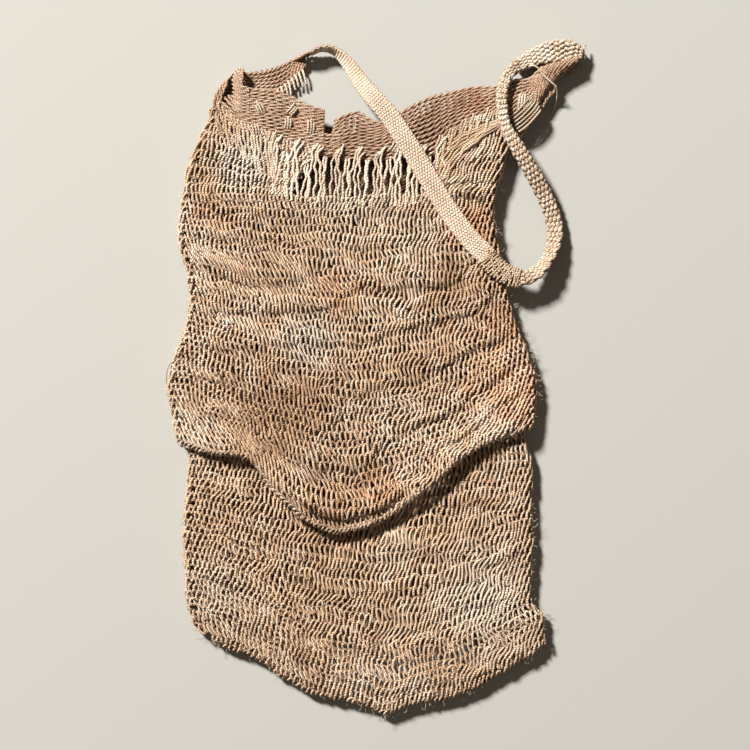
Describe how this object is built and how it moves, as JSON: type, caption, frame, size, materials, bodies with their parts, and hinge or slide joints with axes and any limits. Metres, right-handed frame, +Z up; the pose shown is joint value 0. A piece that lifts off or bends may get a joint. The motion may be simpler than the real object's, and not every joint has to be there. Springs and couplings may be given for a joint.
{
  "type": "looped string bag",
  "caption": "Flat-lying looped string bag with a slumped fold across its front, a twined rim, long header cords and a flat two-part carrying strap.",
  "frame": {"origin": "middle of the plan on the resting face, under the back wall", "axes": "+Y from the closed base to the mouth, +Z up through the front wall, +X to the side of the horn where the short strap is rooted"},
  "size_m": [0.2947, 0.4755, 0.02],
  "materials": {
    "netting": "looped two-ply plant-fibre string, dry and matt",
    "netting_shade": "looped plant-fibre string, deeper tan inside folds",
    "header_cord": "pale twisted plant-fibre cord, matt",
    "rim_band": "twined band of coarse twisted cord, matt",
    "strap_fine": "flat strap, finely woven, matt cream",
    "strap_coarse": "flat strap, coarse oblique braid, matt tan",
    "splice_wrap": "sewn and wrapped overlap, darker from handling",
    "fray": "loose bleached fibres"
  },
  "bodies": {
    "root": {"net_back_upper": "netting", "net_front_upper": "netting", "net_side_left_upper": "netting", "net_side_right_upper": "netting", "net_fold_roll": "netting", "rim_corner": "rim_band", "rim_back": "rim_band", "rim_back_flap": "rim_band", "rim_flap_fringe": "header_cord", "rim_horn": "rim_band", "horn_tip": "strap_coarse", "horn_cords": "header_cord", "horn_fray": "fray", "strap_root_seam": "strap_fine", "loose_thread": "fray"},
    "mouth_lip": {"header_left": "header_cord", "header_cords": "header_cord", "header_right": "header_cord", "rim_front_left": "rim_band", "rim_front_right": "rim_band", "rim_floats": "header_cord"},
    "strap": {"strap_long": "strap_fine", "strap_splice": "splice_wrap", "splice_stitches": "strap_fine", "strap_short": "strap_coarse"},
    "lower_bag": {"net_front_lower": "netting", "net_back_lower": "netting", "net_pleat_back": "netting_shade", "net_side_left_lower": "netting", "net_side_right_lower": "netting", "net_base_edge": "netting"}
  },
  "joints": [
    {"name": "strap_lift", "type": "hinge", "parent": "root", "child": "strap", "pos_m": [-0.046, 0.2277, 0.007], "axis": [-0.999, 0.0449, 0], "range_deg": [0, 160]},
    {"name": "mouth_lift", "type": "hinge", "parent": "root", "child": "mouth_lip", "pos_m": [0, 0.126, 0.012], "axis": [1, 0, 0], "range_deg": [0, 14]},
    {"name": "fold_pull", "type": "slide", "parent": "root", "child": "lower_bag", "axis": [0, -1, 0], "range_m": [0, 0.032]}
  ],
  "couplings": [
    {"joint": "mouth_lift", "follows": "strap_lift", "ratio": 0.0875}
  ]
}
